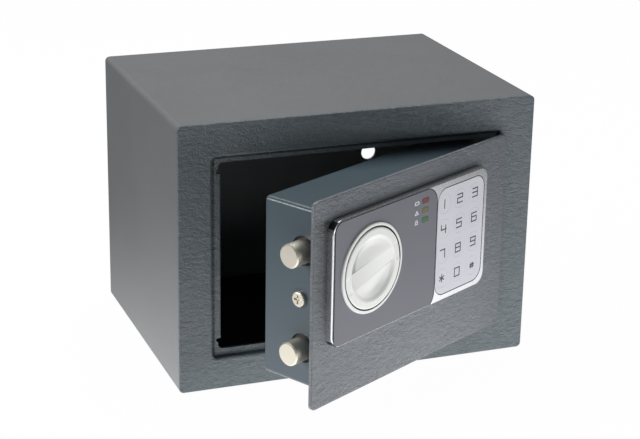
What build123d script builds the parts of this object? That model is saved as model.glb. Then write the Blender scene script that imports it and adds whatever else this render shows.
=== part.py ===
from build123d import *
import math
import os

os.makedirs("parts", exist_ok=True)

# Cabinet. Millimetres; X to the right, Y to the back, Z up from the base.
cabinet_width = 230.0
cabinet_depth = 170.0
cabinet_height = 169.0
sheet = 2.0
wrap_radius = 3.0
edge_round = 0.8
mat_thick = 2.0
anchor_spacing = 148.0
anchor_hole = 11.0
anchor_above_middle = 1.4

# Recessed opening in the front
side_border = 19.5
low_border = 18.4
top_border = 19.0
opening_corner = 5.0
recess_depth = 4.0
recess_bend = 1.8
lip_width = 4.5
hook_step = 1.9
hook_depth = 0.9
hook_end = 7.0
notch_radius = 1.3

# Door leaf and the box behind it
door_ajar = 28.85
plate_gap_x = 2.45
plate_gap_z = 1.3
plate_inset = 0.5
plate_thick = 2.2
plate_corner = 4.0
box_sheet = 1.5
box_depth = 41.5
box_round = 2.5
box_left_gap = 7.75
box_right_gap = 6.75
box_low_gap = 10.2
box_high_gap = 7.1

# Hinges
hinge_from_side = 14.4
hinge_behind_front = 8.0
arm_from_top = 16.1
arm_from_low = 13.0
arm_foot = 4.0
tab_leg = 18.0
hinge_pin = 6.0
hinge_play = 0.06
arm_thick = 6.0
arm_web = 4.8
arm_reach = 18.4
arm_eye = 1.4
arm_step = 0.4
arm_round = 3.5
arm_foot_long = 21.0
arm_foot_low = 4.6
arm_foot_thick = 2.5
tab_thick = 3.0
tab_play = 0.3

# Lock bolts
bolt_diameter = 14.0
bolt_spacing = 59.0
bolt_length = 34.0
bolt_out = 12.5
bolt_travel = 12.5
bolt_setback = 12.0
bolt_play = 0.1
bolt_hole_gap = 1.8
tenon_diameter = 8.0
tenon_length = 6.0
lock_below_knob = 13.6
carriage_wide = 8.0
carriage_deep = 10.0
carriage_past = 6.0
guide_past = 11.5
guide_deep = 9.3
guide_foot = 13.5
guide_foot_long = 30.0
lug_wide = 15.0
lug_deep = 9.0
lug_high = 6.0
lug_seat = 1.0
pocket_diameter = 6.6
rod_diameter = 4.4

# Control panel
panel_left = 11.55
panel_right = 25.25
panel_height = 76.2
panel_above_middle = 49.4
panel_proud = 4.3
panel_corner = 7.5
panel_wall = 1.5
face_wall = 1.2
face_recess = 0.4
foil_thick = 0.35
groove = 0.6
film_width = 46.0
film_height = 67.4
key_diameter = 12.0
key_pitch_x = 15.25
key_pitch_z = 15.8
key_shift = 1.3
key_gap = 0.08
key_travel = 0.5
led_wide = 6.2
led_high = 3.2
led_corner = 0.8
led_pitch = 5.9

# Knob
knob_diameter = 48.8
knob_gap = 0.8
ring_wide = 1.9
ring_proud = 1.25
knob_thick = 5.6
knob_from_left = 34.4
knob_from_top = 35.8
spindle_diameter = 8.0
spindle_play = 0.08
cam_diameter = 25.0
cam_thick = 2.6
cam_pin = 4.0
grip_angle = 14.1
grip_half = 3.3
grip_sink = 2.6
dish_radius = 20.8
scoop_slope = 6.0
scoop_tilt = 4.0
tenon_deep = 2.0

front = -cabinet_depth / 2
rear = cabinet_depth / 2
anchor_z = cabinet_height / 2 + anchor_above_middle
wall_x = cabinet_width / 2 - side_border - recess_bend
wall_low = low_border + recess_bend
wall_high = cabinet_height - top_border - recess_bend
wall_corner = opening_corner - recess_bend
lip_front = front + recess_depth
lip_back = lip_front + sheet
lip_x = wall_x - lip_width
lip_low = wall_low + lip_width
lip_high = wall_high - lip_width
plate_x = wall_x - plate_gap_x
plate_low = wall_low + plate_gap_z
plate_high = wall_high - plate_gap_z
plate_front = front + plate_inset
plate_back = plate_front + plate_thick
middle = (plate_low + plate_high) / 2
hinge_x = cabinet_width / 2 - hinge_from_side
hinge_y = front + hinge_behind_front
box_left = -plate_x + box_left_gap
box_right = plate_x - box_right_gap
box_low = plate_low + box_low_gap
box_high = plate_high - box_high_gap
box_back = plate_back + box_depth
box_inner = box_back - box_sheet
bolt_y = plate_back + bolt_setback
bolt_tip = box_left - bolt_out
bolt_rear = bolt_tip + bolt_length
arm_z = {1: box_high - arm_from_top, -1: box_low + arm_from_low}
panel_x0 = -plate_x + panel_left
panel_x1 = plate_x - panel_right
panel_z1 = middle + panel_above_middle
panel_z0 = panel_z1 - panel_height
panel_y = plate_front - panel_proud
face_y = panel_y + face_recess
face_back = face_y + face_wall
foil_y = face_y - foil_thick
knob_x = panel_x0 + knob_from_left
knob_z = panel_z1 - knob_from_top
lock_z = knob_z - lock_below_knob
knob_y = foil_y - ring_proud - 0.5
knob_radius = knob_diameter / 2
ring_inner = knob_radius + knob_gap
well_radius = ring_inner + 0.7
film_x1 = panel_x1 - 3.7
film_x0 = film_x1 - film_width
overlay_x1 = film_x0 - 1.2
film_z1 = panel_z1 - 4.8
film_z0 = film_z1 - film_height
led_x = overlay_x1 - 11.2
led_z = panel_z1 - 7.4
cam_radius = bolt_travel / 2 / math.sin(math.radians(45))
cam_front = plate_back + 2.9
cam_back = cam_front + cam_thick
coil_x = knob_x + 12.8
coil_z = box_low + 14.8
arm_low = box_low + 29.3
coil_radius = 7.2
coil_bore = 4.1
coil_below = 10.0
coil_above = 11.0
yoke_half = 8.0
yoke_below = 11.5
yoke_above = 12.5
yoke_thick = 1.5
armature_below = 5.6
armature_above = 6.7
spring_below = 9.4
spring_pitch = 1.25
spring_height = 3.0
spring_radius = 3.2
post_places = [
    (coil_x + 15.0, box_high - 7.3),
    (coil_x + 15.0, box_low + 6.8),
    (box_right - 9.5, box_high - 7.3),
    (box_right - 9.5, box_low + 6.8),
]
boss_places = [
    (panel_x0 + 6.7, panel_z1 - 8.6),
    (panel_x0 + 6.7, panel_z0 + 7.6),
    (panel_x1 - 2.8, panel_z1 - 8.6),
    (panel_x1 - 2.8, panel_z0 + 7.6),
]
board_wide = 64.0
board_high = 54.0
board_thick = 1.6
board_part = 14.0
board_x1 = box_right - 12.5
board_x0 = board_x1 - board_wide
board_z1 = middle + 42.4
board_z0 = board_z1 - board_high
slot_up = 22.0
slot_wide = 20.0
ribbon_wide = 16.0
board_y = plate_back + 9.5
spacer_places = [
    (board_x0 + 4, board_z0 + 4),
    (board_x1 - 4, board_z0 + 4),
    (board_x0 + 4, board_z1 - 8),
    (board_x1 - 4, board_z1 - 8),
]
cell_diameter = 14.5
cell_pitch = 15.2
cell_length = 50.5
holder_wall = 1.5
holder_x1 = box_right - 12.5
holder_x0 = holder_x1 - 4 * cell_pitch - 0.2 - 2 * holder_wall
holder_z0 = middle - 33.6
holder_z1 = holder_z0 + cell_length + 9.5
holder_y = box_inner - 20.0
lid_pin_y = box_back + 1.9
lid_pin_z = holder_z0 + 0.2
lead_diameter = 1.2
lead_gap = 3.0
lead_rise = 27.0
lead_drop = 14.0
lead_near = 6.0
lead_far = 10.0
lead_edge = 12.0
reset_x = holder_x1 - 12.0
reset_z = holder_z1 + 14.0


def slab(x0, x1, y0, y1, z0, z1):
    centre = Pos((x0 + x1) / 2, (y0 + y1) / 2, (z0 + z1) / 2)
    return centre * Box(x1 - x0, y1 - y0, z1 - z0)


def soft_slab(x0, x1, y0, y1, z0, z1, radius):
    block = slab(x0, x1, y0, y1, z0, z1)
    return fillet(block.edges().filter_by(Axis.Y), radius)


def bar_y(x, z, y0, y1, radius):
    return Pos(x, (y0 + y1) / 2, z) * Rot(90, 0, 0) * Cylinder(radius, y1 - y0)


def bar_x(y, z, x0, x1, radius):
    return Pos((x0 + x1) / 2, y, z) * Rot(0, 90, 0) * Cylinder(radius, x1 - x0)


def bar_z(x, y, z0, z1, radius):
    return Pos(x, y, (z0 + z1) / 2) * Cylinder(radius, z1 - z0)


def group(pieces):
    return Compound([piece.solid() for piece in pieces])


def ajar(piece):
    turned = Pos(hinge_x, hinge_y, 0) * Rot(0, 0, door_ajar) * Pos(-hinge_x, -hinge_y, 0)
    return turned * piece


def cabinet_wrap():
    half = cabinet_width / 2
    tube = soft_slab(-half, half, front + sheet, rear - sheet, 0, cabinet_height, wrap_radius)
    tube -= soft_slab(
        sheet - half,
        half - sheet,
        front,
        rear,
        sheet,
        cabinet_height - sheet,
        wrap_radius - sheet,
    )
    for side in (-1, 1):
        tube -= bar_z(side * anchor_spacing / 2, 0, -1, sheet + 1, anchor_hole / 2)
    return tube


def front_frame():
    half = cabinet_width / 2
    frame = soft_slab(-half, half, front, front + sheet, 0, cabinet_height, wrap_radius)
    frame += soft_slab(
        -wall_x - sheet,
        wall_x + sheet,
        front + sheet / 2,
        lip_back,
        wall_low - sheet,
        wall_high + sheet,
        wall_corner + sheet,
    )
    frame -= soft_slab(-wall_x, wall_x, front - 1, lip_front, wall_low, wall_high, wall_corner)
    frame -= soft_slab(-lip_x, lip_x, front - 1, lip_back + 1, lip_low, lip_high, wall_corner)
    face = frame.faces().sort_by(Axis.Y)[0]
    inner = face.inner_wires()[0].edges()
    outer = face.outer_wire().edges()
    frame = fillet(inner, recess_bend)
    face = frame.faces().sort_by(Axis.Y)[0]
    outer = face.outer_wire().edges()
    frame = fillet(outer, edge_round)
    hook_low = lip_low + hook_end
    hook_high = lip_high - hook_end
    hook_x = -lip_x + hook_step
    hook = slab(hook_x - sheet, hook_x, lip_front, lip_back + hook_depth, hook_low, hook_high)
    nose = hook.edges().filter_by(Axis.Z).sort_by(Axis.X)[-2:].sort_by(Axis.Y)[0]
    hook = fillet(nose, 1.2)
    frame += hook
    for z in (hook_low - notch_radius, hook_high + notch_radius):
        frame -= bar_y(-lip_x, z, lip_front - 0.5, lip_back + 0.5, notch_radius)
    return frame


def back_plate():
    half = cabinet_width / 2
    plate = soft_slab(-half, half, rear - sheet, rear, 0, cabinet_height, wrap_radius)
    face = plate.faces().sort_by(Axis.Y)[-1]
    plate = fillet(face.outer_wire().edges(), edge_round)
    for side in (-1, 1):
        x = side * anchor_spacing / 2
        plate -= bar_y(x, anchor_z, rear - sheet - 1, rear + 1, anchor_hole / 2)
    return plate


def floor_mat():
    x = cabinet_width / 2 - sheet - 3
    y = cabinet_depth / 2 - sheet - 1
    mat = slab(-x, x, -y, y, sheet, sheet + mat_thick)
    for side in (-1, 1):
        place = side * anchor_spacing / 2
        mat -= bar_z(place, 0, 0, sheet + mat_thick + 1, anchor_hole / 2 + 1)
    return mat


def hinge_bracket(side):
    low = arm_z[side] + side * (arm_thick / 2 + tab_play)
    high = low + side * tab_thick
    far = low + side * tab_leg
    inside = cabinet_width / 2 - sheet
    reach = hinge_pin / 2 + 1.4
    tab = slab(
        hinge_x - reach,
        inside,
        front + sheet,
        hinge_y + reach,
        min(low, high),
        max(low, high),
    )
    leg = slab(inside - 2.5, inside, front + sheet, hinge_y + 12, min(low, far), max(low, far))
    bracket = tab + leg
    return bracket - bar_z(hinge_x, hinge_y, low - 20, low + 20, hinge_pin / 2)


def hinge_pins():
    pins = []
    for side in (1, -1):
        tab = arm_z[side] + side * (arm_thick / 2 + tab_play + tab_thick)
        top = tab + side * 1.5
        end = arm_z[side] - side * (arm_thick / 2 + tab_play)
        pin = bar_z(hinge_x, hinge_y, min(tab, end), max(tab, end), hinge_pin / 2)
        pins.append(pin + bar_z(hinge_x, hinge_y, min(tab, top), max(tab, top), 4.2))
    return group(pins)


def hinge_arm(side):
    z0 = arm_z[side] - arm_thick / 2
    z1 = z0 + arm_thick
    stem = hinge_x + arm_step
    end_y = hinge_y + arm_reach
    arm = bar_z(hinge_x, hinge_y, z0, z1, hinge_pin / 2 + arm_eye)
    arm += slab(stem, stem + arm_web, hinge_y, end_y, z0, z1)
    leg = slab(box_right, stem + arm_web, end_y - arm_web, end_y, z0, z1)
    arm += leg
    corner = arm.edges().filter_by(Axis.Z).group_by(Axis.Y)[-1].sort_by(Axis.X)[-1]
    arm = fillet(corner, arm_round)
    foot_x = box_right + arm_foot_thick
    foot_y = hinge_y + arm_reach - arm_web - arm_foot_low
    arm += slab(box_right, foot_x, foot_y, foot_y + arm_foot_long, z0 - arm_foot, z1 + arm_foot)
    return arm - bar_z(hinge_x, hinge_y, z0 - 5, z1 + 5, hinge_pin / 2 + hinge_play)


def door_plate():
    plate = soft_slab(
        -plate_x, plate_x, plate_front, plate_back, plate_low, plate_high, plate_corner
    )
    face = plate.faces().sort_by(Axis.Y)[0]
    plate = fillet(face.outer_wire().edges(), 0.8)
    hole = spindle_diameter / 2 + spindle_play
    plate -= bar_y(knob_x, knob_z, plate_front - 1, plate_back + 1, hole)
    for x, z in boss_places:
        plate -= bar_y(x, z, plate_front - 1, plate_back + 1, 1.7)
    x = (board_x0 + board_x1) / 2
    z = board_z0 + slot_up
    half = slot_wide / 2
    plate -= slab(x - half, x + half, plate_front - 1, plate_back + 1, z - 2, z + 2)
    return plate


def door_box():
    box = soft_slab(box_left, box_right, plate_back, box_back, box_low, box_high, box_round)
    face = box.faces().sort_by(Axis.Y)[-1]
    box = fillet(face.outer_wire().edges(), box_round - 0.3)
    box -= soft_slab(
        box_left + box_sheet,
        box_right - box_sheet,
        plate_back - 1,
        box_inner,
        box_low + box_sheet,
        box_high - box_sheet,
        box_round - box_sheet,
    )
    for side in (-1, 1):
        z = lock_z + side * bolt_spacing / 2
        radius = bolt_diameter / 2 + bolt_hole_gap
        box -= bar_x(bolt_y, z, box_left - 1, box_left + box_sheet + 1, radius)
    box -= bar_x(bolt_y + 1.8, lock_z + 0.4, box_left - 1, box_left + 3, 2.6)
    for x, z in post_places:
        box -= bar_y(x, z, box_inner - 1, box_back + 1, 1.7)
    box -= slab(
        holder_x0 + holder_wall,
        holder_x1 - holder_wall,
        box_inner - 1,
        box_back + 1,
        holder_z0 + 2,
        holder_z1 - 2,
    )
    box -= bar_y(reset_x, reset_z, box_inner - 1, box_back + 1, 3.3)
    for x in (holder_x0 - 3.0, holder_x1 + 0.2):
        ear = slab(x, x + 2.8, box_back, box_back + 3.8, lid_pin_z - 1.9, lid_pin_z + 1.9)
        box += ear - bar_x(lid_pin_y, lid_pin_z, x - 1, x + 4, 0.8)
    return box


def cover_posts():
    posts = []
    for x, z in post_places:
        post = bar_y(x, z, plate_back, box_inner, 3.5)
        posts.append(post - bar_y(x, z, box_inner - 8, box_inner + 1, 1.5))
    return group(posts)


def cross_cut(depth, wide, thick):
    return Box(wide, depth, thick) + Box(thick, depth, wide)


def cover_screws():
    screws = []
    for x, z in post_places:
        head = bar_y(x, z, box_back, box_back + 2, 3.2)
        head = fillet(head.edges().sort_by(Axis.Y)[-1], 0.9)
        head -= Pos(x, box_back + 1.6, z) * cross_cut(1.6, 3.4, 0.8)
        screws.append(head + bar_y(x, z, box_inner - 7, box_back, 1.5))
    return group(screws)


def bolt_guide():
    x0 = box_left + box_sheet + 0.1
    half = bolt_spacing / 2 + guide_past
    foot = guide_foot_long / 2
    deep = bolt_y + guide_deep
    guide = slab(x0, x0 + 3, plate_back + 2, deep, lock_z - half, lock_z + half)
    guide += slab(x0, x0 + guide_foot, plate_back, plate_back + 2, lock_z - foot, lock_z + foot)
    for side in (-1, 1):
        z = lock_z + side * bolt_spacing / 2
        guide -= bar_x(bolt_y, z, x0 - 1, x0 + 4, bolt_diameter / 2 + bolt_play)
    return guide - bar_x(bolt_y + 1.8, lock_z + 0.4, x0 - 1, x0 + 4, 2.45)


def side_screw():
    y = bolt_y + 1.8
    z = lock_z + 0.4
    head = bar_x(y, z, box_left - 2.4, box_left, 4.7)
    head = fillet(head.edges().sort_by(Axis.X)[0], 1.1)
    slot = Box(1.8, 5.2, 1.1) + Box(1.8, 1.1, 5.2)
    head -= Pos(box_left - 2.0, y, z) * slot
    return head + bar_x(y, z, box_left, box_left + 7.5, 2.4)


def bolt_piece(side):
    z = lock_z + side * bolt_spacing / 2
    bolt = bar_x(bolt_y, z, bolt_tip, bolt_rear, bolt_diameter / 2)
    bolt = chamfer(bolt.edges().sort_by(Axis.X)[0], 0.8)
    return bolt + bar_x(bolt_y, z, bolt_rear, bolt_rear + tenon_length, tenon_diameter / 2)


def bolt_carriage():
    x1 = bolt_rear + carriage_wide
    y0 = bolt_y - carriage_deep / 2
    y1 = bolt_y + carriage_deep / 2
    half = bolt_spacing / 2 + carriage_past
    bar = slab(bolt_rear, x1, y0, y1, lock_z - half, lock_z + half)
    slot_x = knob_x - bolt_travel / 2
    slot_half = cam_pin / 2 + 0.42
    slot_low = knob_z + cam_radius * math.cos(math.radians(45))
    slot_high = knob_z + cam_radius
    web = slab(
        bolt_rear,
        slot_x + slot_half + 2.4,
        bolt_y - 1.25,
        bolt_y + 1.25,
        slot_low - slot_half - 2.6,
        slot_high + slot_half + 2.6,
    )
    bar += web
    bar -= slab(
        slot_x - slot_half, slot_x + slot_half, bolt_y - 2, bolt_y + 2, slot_low, slot_high
    )
    for z in (slot_low, slot_high):
        bar -= bar_y(slot_x, z, bolt_y - 2, bolt_y + 2, slot_half)
    deep = lug_deep / 2
    bar -= slab(x1 - lug_seat, x1 + 1, bolt_y - deep, bolt_y + deep, arm_low, arm_low + lug_high)
    for side in (-1, 1):
        z = lock_z + side * bolt_spacing / 2
        bar -= bar_x(bolt_y, z, bolt_rear - 1, bolt_rear + tenon_length, tenon_diameter / 2)
    return bar


def bolt_lug():
    x0 = bolt_rear + carriage_wide - lug_seat
    x1 = coil_x + lug_wide / 2
    deep = lug_deep / 2
    lug = slab(x0, x1, bolt_y - deep, bolt_y + deep, arm_low, arm_low + lug_high)
    return lug - bar_z(coil_x, bolt_y, arm_low - 1, arm_low + lug_high + 1, pocket_diameter / 2)


def knob_piece():
    knob = bar_y(0, 0, 0, knob_thick, knob_radius)
    knob = fillet(knob.edges().sort_by(Axis.Y)[0], 1.0)
    reach = 2 * knob_radius
    dish = bar_y(0, 0, -2, knob_thick, dish_radius)
    space = Pos(0, -reach / 2, 0) * Box(2 * reach, reach, 2 * reach)
    side = slab(-reach, reach, -2, knob_thick, grip_half, reach)
    scoop = Pos(0, grip_sink, grip_half) * Rot(-scoop_slope, 0, -scoop_tilt) * space
    scoop = dish & side & scoop
    knob -= dish & Pos(0, grip_sink, 0) * space
    knob -= scoop
    knob -= Rot(0, 180, 0) * scoop
    knob -= bar_y(0, 0, knob_thick - tenon_deep, knob_thick + 1, 2.6)
    return Pos(knob_x, knob_y, knob_z) * Rot(0, -grip_angle, 0) * knob


def spindle():
    shaft = bar_y(knob_x, knob_z, knob_y + knob_thick, cam_back, spindle_diameter / 2)
    back = knob_y + knob_thick
    return shaft + bar_y(knob_x, knob_z, back - tenon_deep, back, 2.6)


def spindle_clip():
    ring = bar_y(knob_x, knob_z, plate_back + 0.2, plate_back + 1.2, 7.0)
    return ring - bar_y(knob_x, knob_z, plate_back, plate_back + 2, spindle_diameter / 2)


def cam():
    disc = bar_y(knob_x, knob_z, cam_front, cam_back, cam_diameter / 2)
    disc -= bar_y(knob_x, knob_z, cam_front - 1, cam_back + 1, spindle_diameter / 2)
    x = knob_x - bolt_travel / 2
    z = knob_z + cam_radius * math.cos(math.radians(45))
    return disc + bar_y(x, z, cam_back, bolt_y + 1.5, cam_pin / 2)


def panel_outline(inset, y0, y1):
    return soft_slab(
        panel_x0 + inset,
        panel_x1 - inset,
        y0,
        y1,
        panel_z0 + inset,
        panel_z1 - inset,
        panel_corner - inset,
    )


def overlay_shape(grow, y0, y1):
    x0 = panel_x0 + 2.2 - grow
    x1 = overlay_x1 + grow
    z0 = panel_z0 - 1.6 - grow
    z1 = panel_z1 - 1.3 + grow
    block = slab(x0, x1, y0, y1, z0, z1)
    edges = block.edges().filter_by(Axis.Y).sort_by(Axis.X)
    block = fillet(edges[2:], 10.0 + grow)
    edges = block.edges().filter_by(Axis.Y).sort_by(Axis.X)
    return fillet(edges[:2], 6.0 + grow)


def film_shape(grow, y0, y1):
    return soft_slab(
        film_x0 - grow,
        film_x1 + grow,
        y0,
        y1,
        film_z0 - grow,
        film_z1 + grow,
        8.0 + grow,
    )


def key_places():
    places = []
    x = film_x0 + film_width / 2 - key_pitch_x - key_shift
    z = film_z1 - 9.6
    for row in range(4):
        for column in range(3):
            places.append((x + column * key_pitch_x, z - row * key_pitch_z))
    return places


def led_hole(row, grow, y0, y1):
    z = led_z - row * led_pitch
    wide = led_wide / 2 + grow
    high = led_high / 2 + grow
    corner = led_corner + grow
    return soft_slab(led_x - wide, led_x + wide, y0, y1, z - high, z + high, corner)


def panel_housing():
    shell = panel_outline(0, panel_y, plate_front)
    face = shell.faces().sort_by(Axis.Y)[0]
    shell = fillet(face.outer_wire().edges(), 0.9)
    shell -= panel_outline(panel_wall, face_back, plate_front + 1)
    shell -= overlay_shape(groove, panel_y - 1, face_y)
    shell -= film_shape(groove, panel_y - 1, face_y)
    for x, z in boss_places:
        shell += bar_y(x, z, face_back, plate_front, 2.3)
        shell -= bar_y(x, z, face_back + 0.4, plate_front + 1, 1.45)
    shell -= bar_y(knob_x, knob_z, panel_y - 1, plate_front + 1, well_radius)
    for x, z in key_places():
        shell -= bar_y(x, z, panel_y - 1, face_back + 1, key_diameter / 2 + key_gap + 0.1)
    for row in range(3):
        shell -= led_hole(row, 0.05, panel_y - 1, face_back + 1)
    return shell


def panel_overlay():
    foil = overlay_shape(0, foil_y, face_y) & panel_outline(0.5, foil_y, face_y)
    foil -= bar_y(knob_x, knob_z, foil_y - 1, face_y + 1, well_radius)
    for row in range(3):
        foil -= led_hole(row, 0.05, foil_y - 1, face_y + 1)
    return foil


def keypad_film():
    film = film_shape(0, foil_y, face_y)
    for x, z in key_places():
        film -= bar_y(x, z, foil_y - 1, face_y + 1, key_diameter / 2 + key_gap)
    return film


def key_piece(place):
    x, z = place
    cap = bar_y(x, z, foil_y, face_back + 0.2, key_diameter / 2)
    return cap + bar_y(x, z, face_back + 0.1, face_back + 0.7, key_diameter / 2 + 0.8)


def led_piece(row):
    return led_hole(row, 0, foil_y - 0.15, face_back + 0.6)


def keypad_board():
    x0 = led_x - led_wide / 2 - 4.0
    board_front = plate_front - 1.2
    board = slab(x0, panel_x1 - 6, board_front, plate_front, panel_z0 + 6.8, panel_z1 - 6.8)
    for row in range(3):
        board += led_hole(row, -0.4, face_back + 0.7, board_front + 0.1)
    return board - bar_y(knob_x, knob_z, board_front - 1, plate_front + 1, well_radius + 1)


def knob_ring():
    back = foil_y
    ring = bar_y(knob_x, knob_z, back - ring_proud, back, ring_inner + ring_wide)
    ring = fillet(ring.edges().sort_by(Axis.Y)[0], 0.7)
    ring += bar_y(knob_x, knob_z, back, plate_front - 0.6, well_radius - 0.1)
    ring -= bar_y(knob_x, knob_z, back - ring_proud - 1, plate_front, ring_inner)
    return ring


def panel_screws():
    screws = []
    for x, z in boss_places:
        head = bar_y(x, z, plate_back, plate_back + 1.8, 2.8)
        screws.append(head + bar_y(x, z, face_back + 0.8, plate_back, 1.45))
    return group(screws)


def ribbon_cable():
    x = (board_x0 + board_x1) / 2
    z = board_z0 + slot_up
    half = ribbon_wide / 2
    return slab(x - half, x + half, plate_front, board_y, z - 0.4, z + 0.4)


def main_board():
    back = board_y + board_thick
    board = slab(board_x0, board_x1, board_y, back, board_z0, board_z1)
    for x, z in spacer_places:
        board -= bar_y(x, z, board_y - 1, board_y + 3, 1.3)
    x = (board_x0 + board_x1) / 2
    board += slab(x - 8, x + 2, back, back + 1.5, board_z1 - 24, board_z1 - 14)
    board += slab(x + 10, x + 22, back, back + 1.5, board_z0 + 14, board_z0 + 22)
    return board + bar_y(board_x0 + board_part, board_z0 + board_part, back, back + 2.5, 3.2)


def board_spacers():
    spacers = []
    for x, z in spacer_places:
        spacer = bar_y(x, z, plate_back, board_y, 3.0)
        spacers.append(spacer - bar_y(x, z, board_y - 5, board_y + 1, 1.2))
    return group(spacers)


def board_screws():
    screws = []
    for x, z in spacer_places:
        back = board_y + board_thick
        head = bar_y(x, z, back, back + 1.2, 2.3)
        screws.append(head + bar_y(x, z, board_y - 4, back, 1.2))
    return group(screws)


def battery_holder():
    tray = slab(holder_x0, holder_x1, holder_y, box_inner, holder_z0, holder_z1)
    tray -= slab(
        holder_x0 + holder_wall,
        holder_x1 - holder_wall,
        holder_y + 1.6,
        box_inner + 1,
        holder_z0 + 2,
        holder_z1 - 2,
    )
    return tray


def cell_places():
    x0 = (holder_x0 + holder_x1) / 2 - 1.5 * cell_pitch
    return [x0 + index * cell_pitch for index in range(4)]


def battery_cells():
    cells = []
    y = box_inner - 10.0
    z = holder_z0 + 5.3
    for index, x in enumerate(cell_places()):
        body = bar_z(x, y, z, z + cell_length - 1.2, cell_diameter / 2)
        cell = body + bar_z(x, y, z + cell_length - 1.2, z + cell_length, 2.7)
        if index % 2:
            cell = bar_z(x, y, z + 1.2, z + cell_length, cell_diameter / 2)
            cell += bar_z(x, y, z, z + 1.2, 2.7)
        cells.append(cell)
    return group(cells)


def battery_contacts():
    plates = []
    y = box_inner - 10.0
    for x in cell_places():
        plates.append(slab(x - 5, x + 5, y - 5, y + 5, holder_z0 + 2, holder_z0 + 5.3))
        top = holder_z0 + 5.3 + cell_length
        plates.append(slab(x - 5, x + 5, y - 5, y + 5, top, holder_z1 - 2))
    return group(plates)


def lid_pin():
    return bar_x(lid_pin_y, lid_pin_z, holder_x0 - 3.0, holder_x1 + 3.0, 0.8)


def battery_lid():
    x0 = holder_x0 + 0.2
    x1 = holder_x1 - 0.2
    lid = slab(x0, x1, box_back + 0.1, box_back + 1.7, lid_pin_z, holder_z1)
    far = lid.edges().filter_by(Axis.Y).group_by(Axis.Z)[-1]
    lid = fillet(far, 2.0)
    middle_x = (x0 + x1) / 2
    grip = slab(middle_x - 9, middle_x + 9, box_back + 1.7, box_back + 2.7, holder_z1 - 7, holder_z1 - 5)
    lid += grip
    lid += bar_x(lid_pin_y, lid_pin_z, x0, x1, 1.7)
    return lid - bar_x(lid_pin_y, lid_pin_z, x0 - 1, x1 + 1, 0.86)


def reset_switch():
    body = slab(reset_x - 4.5, reset_x + 4.5, box_inner - 7.5, box_inner, reset_z - 4.5, reset_z + 4.5)
    return body - bar_y(reset_x, reset_z, box_inner - 7.0, box_inner + 1, 3.1)


def reset_button():
    button = bar_y(reset_x, reset_z, box_inner - 5.5, box_back + 1.0, 3.0)
    return fillet(button.edges().sort_by(Axis.Y)[-1], 0.6)


def solenoid_frame():
    x0 = coil_x - yoke_half
    x1 = coil_x + yoke_half
    z0 = coil_z - yoke_below
    z1 = coil_z + yoke_above
    deep = bolt_y + yoke_half
    frame = slab(x0, x1, plate_back, plate_back + yoke_thick, z0, z1)
    frame += slab(x0, x1, plate_back, deep, z0, z0 + yoke_thick)
    frame += slab(x0, x1, plate_back, deep, z1 - yoke_thick, z1)
    return frame - bar_z(coil_x, bolt_y, z1 - 2, z1 + 1, 2.8)


def solenoid_coil():
    z0 = coil_z - coil_below
    z1 = coil_z + coil_above
    coil = bar_z(coil_x, bolt_y, z0, z1, coil_radius)
    return coil - bar_z(coil_x, bolt_y, z0 - 1, z1 + 1, coil_bore)


def plunger():
    tip = arm_low - 0.4
    top = coil_z + armature_above
    armature = bar_z(coil_x, bolt_y, coil_z - armature_below, top, coil_bore - 0.1)
    return armature + bar_z(coil_x, bolt_y, top, tip, rod_diameter / 2)


def plunger_spring():
    path = Helix(pitch=spring_pitch, height=spring_height, radius=spring_radius)
    wire = sweep(Plane(path @ 0, z_dir=path % 0) * Circle(0.3), path=path)
    return Pos(coil_x, bolt_y, coil_z - spring_below) * wire


def inner_leads():
    leads = []
    for x in (board_x0 + lead_near, board_x0 + lead_far):
        z = board_z0 + lead_rise
        leads.append(bar_y(x, z, board_y + board_thick, holder_y, lead_diameter / 2))
    for step in (0, lead_gap):
        low = coil_z - 2.5 + step
        end_x = board_x0 + lead_edge - step
        edge_y = board_y + board_thick / 2
        start = Vector(coil_x + coil_radius, bolt_y, low)
        first = Vector((start.X + end_x - step) / 2, bolt_y, low)
        second = Vector(end_x, edge_y, board_z0 - lead_drop + step)
        end = Vector(end_x, edge_y, board_z0)
        runs = [first - start, second - first, end - second]
        radii = []
        for before, after in zip(runs, runs[1:]):
            half_turn = math.radians(before.get_angle(after)) / 2
            shorter = min(before.length, after.length)
            radii.append(0.45 * shorter / math.tan(half_turn))
        path = FilletPolyline(start, first, second, end, radius=radii)
        ring = Plane(path @ 0, z_dir=path % 0) * Circle(lead_diameter / 2)
        leads.append(sweep(ring, path=path))
    return group(leads)


fixed_pieces = {
    "cabinet_wrap": cabinet_wrap(),
    "front_frame": front_frame(),
    "back_plate": back_plate(),
    "floor_mat": floor_mat(),
    "hinge_bracket_upper": hinge_bracket(1),
    "hinge_bracket_lower": hinge_bracket(-1),
    "hinge_pins": hinge_pins(),
}

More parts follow.
